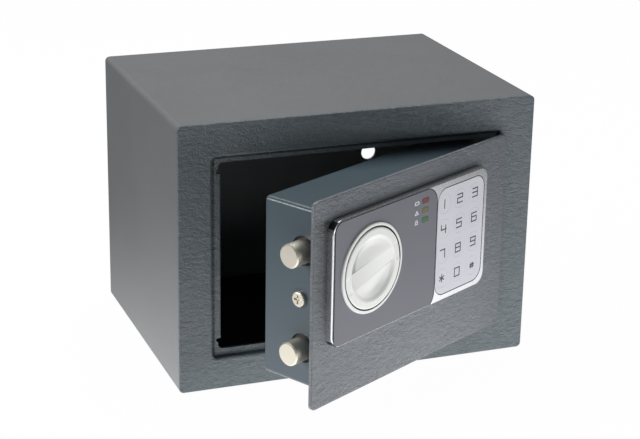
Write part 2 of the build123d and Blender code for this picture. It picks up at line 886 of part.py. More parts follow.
door_pieces = {
    "door_plate": door_plate(),
    "door_box": door_box(),
    "hinge_arm_upper": hinge_arm(1),
    "hinge_arm_lower": hinge_arm(-1),
    "cover_posts": cover_posts(),
    "cover_screws": cover_screws(),
    "bolt_guide": bolt_guide(),
    "side_screw": side_screw(),
    "bolt_upper": bolt_piece(1),
    "bolt_lower": bolt_piece(-1),
    "bolt_carriage": bolt_carriage(),
    "bolt_lug": bolt_lug(),
    "knob": knob_piece(),
    "spindle": spindle(),
    "spindle_clip": spindle_clip(),
    "cam": cam(),
    "panel_housing": panel_housing(),
    "panel_overlay": panel_overlay(),
    "keypad_film": keypad_film(),
    "keypad_board": keypad_board(),
    "knob_ring": knob_ring(),
    "panel_screws": panel_screws(),
    "ribbon_cable": ribbon_cable(),
    "main_board": main_board(),
    "board_spacers": board_spacers(),
    "board_screws": board_screws(),
    "battery_holder": battery_holder(),
    "battery_cells": battery_cells(),
    "battery_contacts": battery_contacts(),
    "battery_lid": battery_lid(),
    "lid_pin": lid_pin(),
    "reset_switch": reset_switch(),
    "reset_button": reset_button(),
    "solenoid_frame": solenoid_frame(),
    "solenoid_coil": solenoid_coil(),
    "inner_leads": inner_leads(),
    "plunger": plunger(),
    "plunger_spring": plunger_spring(),
}

key_names = ["1", "2", "3", "4", "5", "6", "7", "8", "9", "star", "0", "hash"]
for name, place in zip(key_names, key_places()):
    door_pieces["key_" + name] = key_piece(place)

for row, colour in enumerate(["red", "yellow", "green"]):
    door_pieces["led_" + colour] = led_piece(row)

for name, piece in fixed_pieces.items():
    export_step(piece, "parts/" + name + ".step")

for name, piece in door_pieces.items():
    export_step(ajar(piece), "parts/" + name + ".step")
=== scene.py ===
import math

import bmesh
import bpy
from mathutils import Matrix, Vector


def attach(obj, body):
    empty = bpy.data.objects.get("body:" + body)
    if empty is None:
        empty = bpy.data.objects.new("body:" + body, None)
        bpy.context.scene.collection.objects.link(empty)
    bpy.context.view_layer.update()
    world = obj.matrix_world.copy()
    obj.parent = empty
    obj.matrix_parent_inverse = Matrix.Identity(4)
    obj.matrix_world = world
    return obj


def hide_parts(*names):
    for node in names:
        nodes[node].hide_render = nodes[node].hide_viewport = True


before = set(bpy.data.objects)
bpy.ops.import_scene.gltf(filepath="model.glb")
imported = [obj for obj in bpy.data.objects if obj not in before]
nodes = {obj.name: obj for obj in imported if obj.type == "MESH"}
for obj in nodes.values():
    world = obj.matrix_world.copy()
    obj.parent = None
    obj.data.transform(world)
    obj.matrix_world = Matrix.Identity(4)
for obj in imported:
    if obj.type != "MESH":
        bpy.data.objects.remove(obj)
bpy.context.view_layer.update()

mm = 0.001

door = {
    "ajar": 28.85,  # degrees open at rest
    "pivot": (100.6, -77.0),
    "foilFront": -88.75,
    "grooveFront": -88.5,
}


def tone(red, green, blue):
    # a colour as it is read off a screen, 0 to 255, made linear
    def flat(value):
        value = value / 255
        return value / 12.92 if value <= 0.04045 else ((value + 0.055) / 1.055) ** 2.4

    return (flat(red), flat(green), flat(blue), 1.0)


def doorTurn():
    x, y = door["pivot"]
    there = Matrix.Translation((x * mm, y * mm, 0))
    back = Matrix.Translation((-x * mm, -y * mm, 0))
    return there @ Matrix.Rotation(math.radians(door["ajar"]), 4, "Z") @ back


def addPiece(name, mesh, finish, body):
    piece = bpy.data.objects.new(name, mesh)
    bpy.context.scene.collection.objects.link(piece)
    piece.data.materials.append(finish)
    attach(piece, body)
    return piece


class Wire:
    def __init__(self, tree, socket):
        self.tree = tree
        self.socket = socket

    def worked(self, operation, first, second=0.0):
        made = self.tree.nodes.new("ShaderNodeMath")
        made.operation = operation
        for place, value in enumerate((first, second)):
            if isinstance(value, Wire):
                self.tree.links.new(value.socket, made.inputs[place])
            else:
                made.inputs[place].default_value = value
        return Wire(self.tree, made.outputs[0])

    def __add__(self, other):
        return self.worked("ADD", self, other)

    def __radd__(self, other):
        return self.worked("ADD", other, self)

    def __sub__(self, other):
        return self.worked("SUBTRACT", self, other)

    def __rsub__(self, other):
        return self.worked("SUBTRACT", other, self)

    def __mul__(self, other):
        return self.worked("MULTIPLY", self, other)

    def __rmul__(self, other):
        return self.worked("MULTIPLY", other, self)

    def __pow__(self, other):
        return self.worked("POWER", self, other)

    def __lt__(self, other):
        return self.worked("LESS_THAN", self, other)

    def __gt__(self, other):
        return self.worked("GREATER_THAN", self, other)

    def __abs__(self):
        return self.worked("ABSOLUTE", self)

    def past(self, start):
        # how far this lies beyond the start, and 0 before it
        return self.worked("MAXIMUM", self - start, 0.0)


class Shading:
    def __init__(self, tree):
        self.tree = tree
        self.tree.nodes.clear()

    def node(self, kind, settings=None, sockets=None, output=0):
        made = self.tree.nodes.new("ShaderNode" + kind)
        for key, value in (settings or {}).items():
            setattr(made, key, value)
        for key, value in (sockets or {}).items():
            if isinstance(value, Wire):
                self.tree.links.new(value.socket, made.inputs[key])
            else:
                made.inputs[key].default_value = value
        return Wire(self.tree, made.outputs[output]) if len(made.outputs) else None


class Finish(Shading):
    def __init__(self, name):
        self.material = bpy.data.materials.new(name)
        self.material.use_nodes = True
        super().__init__(self.material.node_tree)

    def place(self):
        return self.node("TexCoord", output=3)

    def doorPlace(self):
        # the coordinates a point of the door has while the door is shut
        turn = math.radians(door["ajar"])
        x, y = door["pivot"]
        shiftX = x - x * math.cos(turn) - y * math.sin(turn)
        shiftY = y + x * math.sin(turn) - y * math.cos(turn)
        return self.node(
            "Mapping",
            None,
            {
                "Vector": self.place(),
                "Rotation": (0.0, 0.0, -turn),
                "Location": (shiftX * mm, shiftY * mm, 0.0),
            },
        )

    def parts(self, vector):
        split = self.node("SeparateXYZ", None, {0: vector})
        outs = split.socket.node.outputs
        return [Wire(self.tree, outs[spot]) for spot in range(3)]

    def noise(self, scale, detail=2.0, rough=0.5, warp=0.0, at=None):
        return self.node(
            "TexNoise",
            None,
            {
                "Vector": at or self.place(),
                "Scale": scale,
                "Detail": detail,
                "Roughness": rough,
                "Distortion": warp,
            },
        )

    def cells(self, scale, feature="SMOOTH_F1", at=None):
        settings = {"feature": feature}
        return self.node("TexVoronoi", settings, {"Vector": at or self.place(), "Scale": scale})

    def span(self, value, start, end):
        settings = {"interpolation_type": "SMOOTHSTEP"}
        return self.node("MapRange", settings, {"Value": value, "From Min": start, "From Max": end})

    def blend(self, amount, first, second):
        settings = {"data_type": "RGBA"}
        return self.node("Mix", settings, {0: amount, 6: first, 7: second}, 2)

    def bump(self, height, deep, strength=1.0):
        return self.node("Bump", None, {"Height": height, "Distance": deep, "Strength": strength})

    def surface(self, **sockets):
        named = {}
        for key, value in sockets.items():
            named[key.replace("_", " ")] = value
        shader = self.node("BsdfPrincipled", None, named)
        self.node("OutputMaterial", None, {"Surface": shader})
        return self.material


wrinkle = {
    "folds": 520.0,  # how many to the metre, and so for the next three
    "lumps": 380.0,
    "grain": 1800.0,
    "clouds": 11.0,
    # the dark tone of the painted shade at the recess lip and beside the panel
    "paintedShadeTone": tone(26, 29, 31),
}


def wrinkleCoat(name, pale, dark, deep, rough, drawnOut, shadeMask=None):
    # the folds of a wrinkle coat run along the sheet, so they are longer than they are high
    coat = Finish(name)
    squeeze = (1 / drawnOut, 1 / drawnOut, 1.0)
    drawn = coat.node("Mapping", None, {"Vector": coat.place(), "Scale": squeeze})
    folds = coat.noise(wrinkle["folds"], 4.0, 0.6, 1.6, drawn)
    lumps = coat.cells(wrinkle["lumps"], "SMOOTH_F1", drawn)
    grain = coat.noise(wrinkle["grain"], 2.0, 0.5)
    clouds = coat.noise(wrinkle["clouds"], 3.0, 0.55)
    height = folds * 0.8 + lumps * 0.35 + grain * 0.1
    # the colour is darker in the folds' valleys, a painted shade, and also varies at random with the
    # clouds
    foldShadeAndTone = coat.node(
        "MapRange", None, {"Value": clouds * 0.6 + folds * 0.7, "From Min": 0.4, "From Max": 0.9}
    )
    colour = coat.blend(foldShadeAndTone, dark, pale)
    # painted shade from the given mask, blended towards the dark tone
    if shadeMask:
        colour = coat.blend(shadeMask(coat), colour, wrinkle["paintedShadeTone"])
    return coat.surface(
        Base_Color=colour,
        Roughness=folds * 0.2 + rough,
        Normal=coat.bump(height, deep),
        IOR=1.5,
    )


# where the painted shade lies along the recess's lip
recess = {
    "halfWide": 91.4,
    "top": 146.0,
    "lip": (-82.4, -79.0),  # the lip's front and back
    "dark": 0.8,
}


def lipPaintedShade(coat):
    # painted shade in the dark corner where the recess meets the lip
    x, y, z = coat.parts(coat.place())
    edge = (abs(x) > recess["halfWide"] * mm) + (z > recess["top"] * mm)
    lip = (y > recess["lip"][0] * mm) * (y < recess["lip"][1] * mm)
    return (edge > 0.5) * lip * recess["dark"]


panelRim = {
    "x": -6.85,
    "z": 95.5,
    "halfWide": 72.15,  # to the inner side of the bright edge
    "halfHigh": 37.4,
    "corner": 6.8,
    # where the painted shade on the left rim ends
    "shadeTo": -74.0,
}

# painted shadow on the door beside the panel
panelShadowPaint = {
    "wide": 18.0,  # beside the panel's left side
    "high": 4.0,  # above its top
    "rightFade": 20.0,
    "footFade": 6.0,
    "dark": 0.62,
    "strip": (4.0, 3.2),  # a darker strip of painted shadow close against the left side
    "stripOver": 2.0,
    "stripDark": 0.25,
}


def panelPaintedShadow(coat):
    # painted shadow along the panel's top and left sides
    x, y, z = coat.parts(coat.doorPlace())
    left = (panelRim["x"] - panelRim["halfWide"]) * mm
    right = (panelRim["x"] + panelRim["halfWide"]) * mm
    top = (panelRim["z"] + panelRim["halfHigh"]) * mm
    foot = (panelRim["z"] - panelRim["halfHigh"]) * mm
    beyond = coat.span(x, left, left - panelShadowPaint["wide"] * mm)
    above = coat.span(z, top, top + panelShadowPaint["high"] * mm)
    near = (1 - beyond) * (1 - above)
    inward = coat.span(x, right, right - panelShadowPaint["rightFade"] * mm)
    upward = coat.span(z, foot - panelShadowPaint["footFade"] * mm, panelRim["z"] * mm)
    start, end = panelShadowPaint["strip"]
    strip = coat.span(x, left - start * mm, left - end * mm) * (x < left + panelShadowPaint["stripOver"] * mm)
    shade = near * inward * upward * panelShadowPaint["dark"]
    return shade + strip * upward * (1 - above) * panelShadowPaint["stripDark"]


def smoothCoat(name, pale, dark):
    coat = Finish(name)
    wide = coat.noise(14.0, 2.0, 0.5)
    peel = coat.noise(420.0, 2.0, 0.5)
    return coat.surface(
        Base_Color=coat.blend(wide, dark, pale),
        Roughness=peel * 0.12 + 0.26,
        Normal=coat.bump(peel, 0.00006),
        IOR=1.5,
    )


knobForm = {
    "x": -45.3,
    "z": 97.8,
    "front": -90.5,
    "thick": 5.6,
    "radius": 24.4,
    "edge": 1.0,
    "lean": 14.1,  # of the grip, in degrees
    "grip": 5.0,  # half its width
    "gripDeep": 1.1,  # behind the rim
    "gripTwist": 0.7,
    "twistReach": 16.0,
    "gripEnd": (17.4, 20.4),
    "scoopDeep": 2.3,
    "scoopWide": 11.0,
    "scoopEnd": (12.5, 19.6),
    "scoopFlat": 0.3,  # share of its depth that the shallow end keeps
    "shallow": (-13.0, 13.0),  # along the grip, from the deep end to the shallow one
    "soft": (-14.0, 8.0),  # and from the steep wall to the soft one
    "notch": 0.25,  # at both ends of the grip
    "notchHalf": (5.2, 5.5),
    "notchFrom": (20.5, 21.2),
}

# painted shade on the knob: in the gap round it, down its scoops' walls, heavier on the upper scoop, and
# along the grip's edges
knobShade = {
    "gapFrom": 24.25,
    "gapTo": 25.35,
    "gapFront": -89.7,
    "gapShadeTone": tone(40, 42, 44),
    "deepEnd": (-4.0, 13.0),  # along the grip, where the scoops' shade starts and is full
    "footReach": 16.4,  # how far from the centre the scoops' walls end
    "foot": (3.2, 0.6),  # half the width of the shade there, and of its darkest part
    "upperFoot": 0.72,
    "lowerFoot": 0.02,
    "crest": 0.45,  # half the width of the line along each side of the grip
    "crestReach": 18.4,
    "crestDark": (0.45, 0.15),
    "scoopShadeTone": tone(128, 131, 130),
}


def pearlMoulding(name, pale, dark):
    # satin white, with painted shade in the gap round the knob, down its scoops' walls and along the
    # grip's edges
    shell = Finish(name)
    wide = shell.noise(40.0, 2.0, 0.5)
    fine = shell.noise(2600.0, 2.0, 0.5)
    x, y, z = shell.parts(shell.doorPlace())
    across = x - knobForm["x"] * mm
    up = z - knobForm["z"] * mm
    reach = (across * across + up * up) ** 0.5
    ring = (reach > knobShade["gapFrom"] * mm) * (reach < knobShade["gapTo"] * mm)
    gap = ring * (y > knobShade["gapFront"] * mm)
    lean = math.radians(knobForm["lean"])
    above = up * math.cos(lean) - across * math.sin(lean)
    along = across * math.cos(lean) + up * math.sin(lean)
    side = (above > 0.0) * 2.0 - 1.0  # 1 over the grip, -1 under it
    shallow, deepest = knobShade["deepEnd"]
    deep = shell.span(along * side * -1.0, shallow * mm, deepest * mm)
    grip = knobForm["grip"] * mm
    scoop = abs(above) > grip
    edge, core = knobShade["foot"]
    foot = shell.span(abs(reach - knobShade["footReach"] * mm), edge * mm, core * mm)
    crest = shell.span(abs(abs(above) - grip), knobShade["crest"] * mm, 0.0)
    rise, least = knobShade["crestDark"]
    crest = crest * (reach < knobShade["crestReach"] * mm) * (deep * rise + least)
    upper, lower = knobShade["upperFoot"], knobShade["lowerFoot"]
    shade = foot * scoop * deep * (side * ((upper - lower) / 2) + (upper + lower) / 2) + crest
    unshaded = shell.blend(wide * 0.7 + fine * 0.3, dark, pale)
    # the scoops' walls and the grip's edges take painted shade here
    darkerColour = shell.blend(shade, unshaded, knobShade["scoopShadeTone"])
    return shell.surface(
        Base_Color=shell.blend(gap, darkerColour, knobShade["gapShadeTone"]),
        Roughness=fine * 0.08 + 0.34,
        Normal=shell.bump(fine, 0.000012),
    )


def platedMoulding(name, pale, dark, rough, grooveShadeTone):
    # bright plating, with painted shade in the grooves round the foils and on the inner half of the left
    # rim
    shell = Finish(name)
    wide = shell.noise(50.0, 2.0, 0.5)
    fine = shell.noise(1700.0, 2.0, 0.5)
    x, y, z = shell.parts(shell.doorPlace())
    offX = abs(x - panelRim["x"] * mm)
    offZ = abs(z - panelRim["z"] * mm)
    halfWide, halfHigh = panelRim["halfWide"] * mm, panelRim["halfHigh"] * mm
    corner = panelRim["corner"] * mm
    groove = (offX < halfWide) * (offZ < halfHigh) * (y > door["grooveFront"] * mm)
    pastX, pastZ = offX.past(halfWide - corner), offZ.past(halfHigh - corner)
    inside = (pastX * pastX + pastZ * pastZ) ** 0.5 < corner
    # painted shade: the groove floors and the inner half of the left rim
    paintedGrooveShade = (groove + inside * (x < panelRim["shadeTo"] * mm)) > 0.5
    plating = shell.blend(wide, dark, pale)
    return shell.surface(
        Base_Color=shell.blend(paintedGrooveShade, plating, grooveShadeTone),
        Metallic=0.92 - paintedGrooveShade * 0.8,
        Roughness=fine * 0.08 + rough,
        Normal=shell.bump(fine, 0.000008),
    )


def printedFoil(name, pale, dark, sparkle):
    foil = Finish(name)
    fine = foil.noise(3800.0, 1.0, 0.5)
    wide = foil.noise(30.0, 2.0, 0.5)
    return foil.surface(
        Base_Color=foil.blend(fine * sparkle + wide * (1 - sparkle), dark, pale),
        Roughness=fine * 0.1 + 0.5,
        Normal=foil.bump(fine, 0.000015),
    )


def platedSteel(name, colour, darkerColour, rough, streak=(1.0, 1.0, 1.0)):
    plate = Finish(name)
    along = plate.node("Mapping", None, {"Vector": plate.place(), "Scale": streak})
    brush = plate.noise(700.0, 3.0, 0.6, 0.0, along)
    cloud = plate.noise(60.0, 2.0, 0.5)
    return plate.surface(
        Base_Color=plate.blend(cloud * 0.6 + brush * 0.4, darkerColour, colour),
        Metallic=1.0,
        Roughness=brush * 0.16 + rough,
        Normal=plate.bump(brush, 0.00001),
    )


def mouldedPlastic(name, pale, dark, rough):
    shell = Finish(name)
    grain = shell.noise(1300.0, 2.0, 0.5)
    wide = shell.noise(50.0, 2.0, 0.5)
    return shell.surface(
        Base_Color=shell.blend(wide, dark, pale),
        Roughness=grain * 0.15 + rough,
        Normal=shell.bump(grain, 0.00003),
    )


def lampLens(name, pale, dark):
    lens = Finish(name)
    ribs = lens.noise(1600.0, 1.0, 0.5)
    return lens.surface(
        Base_Color=lens.blend(ribs, dark, pale),
        Roughness=ribs * 0.1 + 0.15,
        Normal=lens.bump(ribs, 0.00002),
    )


def feltMat(name, pale, dark):
    felt = Finish(name)
    fibre = felt.noise(2200.0, 4.0, 0.7, 2.0)
    tuft = felt.noise(260.0, 3.0, 0.6)
    return felt.surface(
        Base_Color=felt.blend(fibre * 0.6 + tuft * 0.4, dark, pale),
        Roughness=fibre * 0.1 + 0.86,
        Normal=felt.bump(fibre * 0.6 + tuft * 0.4, 0.0004),
    )


def circuitBoard(name, mask, track):
    board = Finish(name)
    lanes = board.cells(260.0, "DISTANCE_TO_EDGE")
    edge = lanes < 0.06
    fine = board.noise(900.0, 2.0, 0.5)
    return board.surface(
        Base_Color=board.blend(edge, mask, track),
        Roughness=fine * 0.1 + 0.35,
        Normal=board.bump(edge, 0.00004),
    )


def woundCopper(name, pale, dark):
    coil = Finish(name)
    split = coil.node("SeparateXYZ", None, {0: coil.place()}, 2)
    turns = split.worked("PINGPONG", split, 0.0002) * 5000.0
    return coil.surface(
        Base_Color=coil.blend(turns, dark, pale),
        Metallic=0.8,
        Roughness=turns * 0.1 + 0.35,
        Normal=coil.bump(turns, 0.0001),
    )


finishes = {
    "wrinkleSide": wrinkleCoat(
        "wrinkleSide", tone(112, 114, 115), tone(102, 104, 106), 0.00012, 0.34, 1.5
    ),
    "wrinkleGrey": wrinkleCoat(
        "wrinkleGrey", tone(104, 113, 118), tone(86, 95, 100), 0.0014, 0.24, 1.7, lipPaintedShade
    ),
    "wrinkleDoor": wrinkleCoat(
        "wrinkleDoor", tone(112, 116, 121), tone(94, 99, 104), 0.0012, 0.24, 2.0, panelPaintedShadow
    ),
    "trayGrey": smoothCoat("trayGrey", tone(70, 84, 92), tone(61, 74, 82)),
    "pearl": pearlMoulding("pearl", tone(225, 226, 223), tone(217, 218, 216)),
    "bezel": platedMoulding("bezel", tone(214, 215, 218), tone(200, 201, 205), 0.24, tone(34, 36, 38)),
    "overlay": printedFoil("overlay", tone(106, 108, 116), tone(98, 100, 108), 0.4),
    "film": printedFoil("film", tone(204, 204, 212), tone(194, 194, 202), 0.4),
    "ink": mouldedPlastic("ink", tone(62, 62, 68), tone(50, 50, 56), 0.4),
    "whiteInk": mouldedPlastic("whiteInk", tone(235, 235, 238), tone(222, 222, 226), 0.4),
    "nickel": platedSteel("nickel", tone(218, 213, 201), tone(202, 196, 182), 0.38),
    # the bolt guide near black, a painted shade for the holes round the bolts
    "boltGuideShade": mouldedPlastic("boltGuideShade", tone(30, 31, 33), tone(20, 21, 23), 0.4),
    "zinc": platedSteel("zinc", tone(196, 197, 198), tone(168, 169, 172), 0.28, (1.0, 1.0, 12.0)),
    "red": lampLens("red", tone(128, 52, 60), tone(70, 30, 38)),
    "yellow": lampLens("yellow", tone(112, 110, 66), tone(66, 66, 44)),
    "green": lampLens("green", tone(52, 110, 62), tone(32, 66, 42)),
    "black": mouldedPlastic("black", tone(44, 45, 47), tone(32, 33, 35), 0.45),
    "redButton": mouldedPlastic("redButton", tone(176, 40, 40), tone(150, 30, 30), 0.35),
    "sleeve": mouldedPlastic("sleeve", tone(60, 66, 74), tone(40, 44, 50), 0.25),
    "board": circuitBoard("board", tone(30, 92, 52), tone(92, 140, 84)),
    "copper": woundCopper("copper", tone(196, 120, 72), tone(110, 60, 36)),
    "contact": platedSteel("contact", tone(214, 196, 150), tone(180, 160, 120), 0.25),
    "redWire": mouldedPlastic("redWire", tone(160, 36, 36), tone(130, 26, 26), 0.35),
    "ribbonGrey": mouldedPlastic("ribbonGrey", tone(150, 152, 156), tone(126, 128, 132), 0.4),
    "felt": feltMat("felt", tone(44, 45, 47), tone(26, 27, 29)),
}
print("finishes made:", len(finishes))

nodeFinish = {
    "wrinkleSide": ["cabinet_wrap", "back_plate"],
    "wrinkleGrey": ["front_frame", "hinge_bracket_upper", "hinge_bracket_lower"],
    "wrinkleDoor": ["door_plate"],
    "trayGrey": ["door_box"],
    "pearl": ["knob", "knob_ring"],
    "bezel": ["panel_housing"],
    "overlay": ["panel_overlay"],
    "film": ["keypad_film"],
    "nickel": ["bolt_upper", "bolt_lower", "side_screw"],
    "zinc": [
        "hinge_pins",
        "hinge_arm_upper",
        "hinge_arm_lower",
        "cover_posts",
        "cover_screws",
        "bolt_carriage",
        "bolt_lug",
        "spindle",
        "spindle_clip",
        "cam",
        "panel_screws",
        "board_spacers",
        "board_screws",
        "lid_pin",
        "solenoid_frame",
        "plunger",
        "plunger_spring",
    ],
    "boltGuideShade": ["bolt_guide"],
    "red": ["led_red"],
    "yellow": ["led_yellow"],
    "green": ["led_green"],
    "black": ["battery_holder", "battery_lid", "reset_switch"],
    "redButton": ["reset_button"],
    "sleeve": ["battery_cells"],
    "board": ["keypad_board", "main_board"],
    "copper": ["solenoid_coil"],
    "contact": ["battery_contacts"],
    "redWire": ["inner_leads"],
    "ribbonGrey": ["ribbon_cable"],
    "felt": ["floor_mat"],
}
keyNames = ["1", "2", "3", "4", "5", "6", "7", "8", "9", "star", "0", "hash"]
nodeFinish["film"] += ["key_" + name for name in keyNames]

for finish, names in nodeFinish.items():
    for name in names:
        node = nodes[name]
        node.data.materials.clear()
        node.data.materials.append(finishes[finish])
print("CAD nodes finished")

keypad = {
    "firstX": 22.75,
    "firstZ": 119.2,
    "pitchX": 15.25,
    "pitchZ": 15.8,
    "wide": 4.9,  # of a figure
    "high": 5.3,
    "stroke": 0.8,
    "proud": 0.04,
}

# each figure as strokes on a grid from -1 to 1
figures = {
    "1": [[(0.0, -1.0), (0.0, 1.0)]],
    "2": [[(-1, 1), (1, 1), (1, 0.1), (-1, 0.1), (-1, -1), (1, -1)]],
    "3": [[(-1, 1), (1, 1), (1, -1), (-1, -1)], [(-1, 0.05), (1, 0.05)]],
    "4": [[(-1, 1), (-1, -0.1), (1, -0.1)], [(0.75, 0.75), (0.75, -1)]],
    "5": [[(1, 1), (-1, 1), (-1, 0.1), (1, 0.1), (1, -1), (-1, -1)]],
    "6": [[(1, 1), (-1, 1), (-1, -1), (1, -1), (1, 0.1), (-1, 0.1)]],
    "7": [[(-1, 1), (0.8, 1), (0.8, -1)]],
    "8": [[(-1, 1), (1, 1), (1, -1), (-1, -1), (-1, 1)], [(-1, 0.05), (1, 0.05)]],
    "9": [[(1, 0.05), (-1, 0.05), (-1, 1), (1, 1), (1, -1), (-1, -1)]],
    "0": [[(-1, 1), (1, 1), (1, -1), (-1, -1), (-1, 1)]],
    "star": [
        [(0, 0.85), (0, -0.85)],
        [(-0.85, 0.42), (0.85, -0.42)],
        [(-0.85, -0.42), (0.85, 0.42)],
    ],
    "hash": [
        [(-0.35, 0.6), (-0.35, -0.6)],
        [(0.35, 0.6), (0.35, -0.6)],
        [(-0.75, 0.25), (0.75, 0.25)],
        [(-0.75, -0.25), (0.75, -0.25)],
    ],
}


def strokeMesh(name, lines, centre, stroke, proud):
    # flat strokes with square ends, printed on the foil, which faces along -Y of the shut door
    work = bmesh.new()
    front = door["foilFront"]
    for line in lines:
        for first, second in zip(line, line[1:]):
            start = Vector((first[0], first[1]))
            end = Vector((second[0], second[1]))
            way = (end - start).normalized()
            side = Vector((-way.y, way.x)) * stroke / 2
            start = start - way * stroke / 2
            end = end + way * stroke / 2
            low = []
            high = []
            for point in (start - side, end - side, end + side, start + side):
                x = centre[0] + point.x
                z = centre[1] + point.y
                low.append(work.verts.new((x * mm, front * mm, z * mm)))
                high.append(work.verts.new((x * mm, (front - proud) * mm, z * mm)))
            work.faces.new(low[::-1])
            work.faces.new(high)
            for spot in range(4):
                after = (spot + 1) % 4
                work.faces.new((low[spot], low[after], high[after], high[spot]))
    bmesh.ops.recalc_face_normals(work, faces=work.faces)
    mesh = bpy.data.meshes.new(name)
    work.to_mesh(mesh)
    work.free()
    mesh.transform(doorTurn())
    return mesh


for spot, name in enumerate(keyNames):
    row, column = divmod(spot, 3)
    centre = (
        keypad["firstX"] + column * keypad["pitchX"],
        keypad["firstZ"] - row * keypad["pitchZ"],
    )
    lines = []
    for line in figures[name]:
        lines.append([(u * keypad["wide"] / 2, v * keypad["high"] / 2) for u, v in line])
    mesh = strokeMesh("figure_" + name, lines, centre, keypad["stroke"], keypad["proud"])
    addPiece("figure_" + name, mesh, finishes["ink"], "key_" + name)
print("keypad figures printed")

lamps = {"z": 126.2, "pitch": 5.9, "iconX": -4.5, "stroke": 0.42, "proud": 0.04}

icons = [
    [
        [(-1.8, 0.9), (1.5, 0.9), (1.5, -0.9), (-1.8, -0.9), (-1.8, 0.9)],
        [(2.0, 0.4), (2.0, -0.4)],
        [(-1.2, 0.3), (-1.2, -0.3)],
    ],
    [[(-1.6, -1.1), (0, 1.2), (1.6, -1.1), (-1.6, -1.1)], [(0, 0.3), (0, -0.3)]],
    [
        [(-1.2, 0.1), (1.2, 0.1), (1.2, -1.2), (-1.2, -1.2), (-1.2, 0.1)],
        [(-0.7, 0.2), (-0.7, 1.2), (0.7, 1.2), (0.7, 0.8)],
    ],
]
for row, name in enumerate(("icon_cell", "icon_alert", "icon_open")):
    centre = (lamps["iconX"], lamps["z"] - row * lamps["pitch"])
    mesh = strokeMesh(name, icons[row], centre, lamps["stroke"], lamps["proud"])
    addPiece(name, mesh, finishes["whiteInk"], "door")
print("lamp icons printed")


def eased(low, high, value):
    share = min(max((value - low) / (high - low), 0.0), 1.0)
    return share * share * (3 - 2 * share)


def knobDepth(x, z):
    # how far the knob's face lies behind its rim: a twisted grip bar between two scoops
    lean = math.radians(knobForm["lean"])
    along = x * math.cos(lean) + z * math.sin(lean)
    above = z * math.cos(lean) - x * math.sin(lean)
    if above < 0:
        along, above = -along, -above
    grip = knobForm["grip"]
    twist = max(min(along / knobForm["twistReach"], 1.0), -1.0) * min(above, grip) / grip
    depth = knobForm["gripDeep"] - knobForm["gripTwist"] * twist
    reach = math.hypot(x, z)
    scoop = 0.0
    if above > grip:
        share = min((above - grip) / knobForm["scoopWide"], 1.0)
        steep = 1 - eased(*knobForm["soft"], along)
        shape = steep * math.sin(share * math.pi / 2) + (1 - steep) * eased(0, 1, share)
        flat = knobForm["scoopFlat"]
        deep = flat + (1 - flat) * (1 - eased(*knobForm["shallow"], along))
        scoop = knobForm["scoopDeep"] * deep * shape
    depth *= 1 - eased(*knobForm["gripEnd"], reach)
    scoop *= 1 - eased(*knobForm["scoopEnd"], reach)
    notch = (1 - eased(*knobForm["notchHalf"], above)) * eased(*knobForm["notchFrom"], reach)
    return depth + scoop + knobForm["notch"] * notch


knobMesh = {
    "wideStep": 0.45,  # between the rings over the grip and scoops
    "wideRings": 41,
    "fineFrom": 18.9,
    "fineStep": 0.2,
    "fineRings": 14,
    "rimRings": [22.0, 22.6, 23.1, 23.4],
    "segments": 224,
    "edgeSteps": 6,
    "snap": 0.22,  # how near a point is to be moved onto the grip's edge
    "snapReach": 20.0,
}


def makeKnob():
    work = bmesh.new()
    lean = math.radians(knobForm["lean"])
    radius, edge = knobForm["radius"], knobForm["edge"]
    rings = [knobMesh["wideStep"] * (step + 1) for step in range(knobMesh["wideRings"])]
    rings += [knobMesh["fineFrom"] + knobMesh["fineStep"] * step for step in range(knobMesh["fineRings"])]
    rings += knobMesh["rimRings"]
    segments = knobMesh["segments"]
    loops = []
    for ring in rings:
        loop = []
        for spot in range(segments):
            turn = 2 * math.pi * spot / segments
            x, z = ring * math.cos(turn), ring * math.sin(turn)
            above = z * math.cos(lean) - x * math.sin(lean)
            off = abs(above) - knobForm["grip"]
            if abs(off) < knobMesh["snap"] and ring < knobMesh["snapReach"]:
                step = -off if above > 0 else off
                x -= step * math.sin(lean)
                z += step * math.cos(lean)
            loop.append((x, knobDepth(x, z), z))
        loops.append(loop)
    for step in range(knobMesh["edgeSteps"]):
        turn = math.pi / 2 * (step + 1) / knobMesh["edgeSteps"]
        out = radius - edge + edge * math.sin(turn)
        loop = []
        for spot in range(segments):
            x = out * math.cos(2 * math.pi * spot / segments)
            z = out * math.sin(2 * math.pi * spot / segments)
            loop.append((x, edge * (1 - math.cos(turn)) + knobDepth(x, z), z))
        loops.append(loop)
    loops.append([(x, knobForm["thick"], z) for x, y, z in loops[-1]])

    def place(point):
        x, y, z = point
        return (
            (knobForm["x"] + x) * mm,
            (knobForm["front"] + y) * mm,
            (knobForm["z"] + z) * mm,
        )

    rows = [[work.verts.new(place(point)) for point in loop] for loop in loops]
    middle = work.verts.new(place((0, knobDepth(0, 0), 0)))
    back = work.verts.new(place((0, knobForm["thick"], 0)))
    for spot in range(segments):
        after = (spot + 1) % segments
        work.faces.new((middle, rows[0][spot], rows[0][after]))
        work.faces.new((back, rows[-1][after], rows[-1][spot]))
        for inner, outer in zip(rows, rows[1:]):
            work.faces.new((inner[spot], outer[spot], outer[after], inner[after]))
    bmesh.ops.recalc_face_normals(work, faces=work.faces)
    for face in work.faces:
        face.smooth = True
    mesh = bpy.data.meshes.new("knob_grip")
    work.to_mesh(mesh)
    work.free()
    mesh.transform(doorTurn())
    piece = addPiece("knob_grip", mesh, finishes["pearl"], "knob")
    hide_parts("knob")


mat = {
    "wide": 220.0,
    "deep": 164.0,
    "low": 2.0,
    "thick": 2.0,
    "holes": ((-74.0, 0.0), (74.0, 0.0)),
    "holeRadius": 6.5,
    "pulled": (0.5, 1.3),  # radii, as shares, from which points go onto a hole's edge
    "openWithin": 0.4,
    "across": 66,
    "along": 50,
    "sink": 0.12,
    "waves": ((0.06, 0.11, 0.05), (0.05, -0.07, 0.17)),  # height, and turns along x and y
}


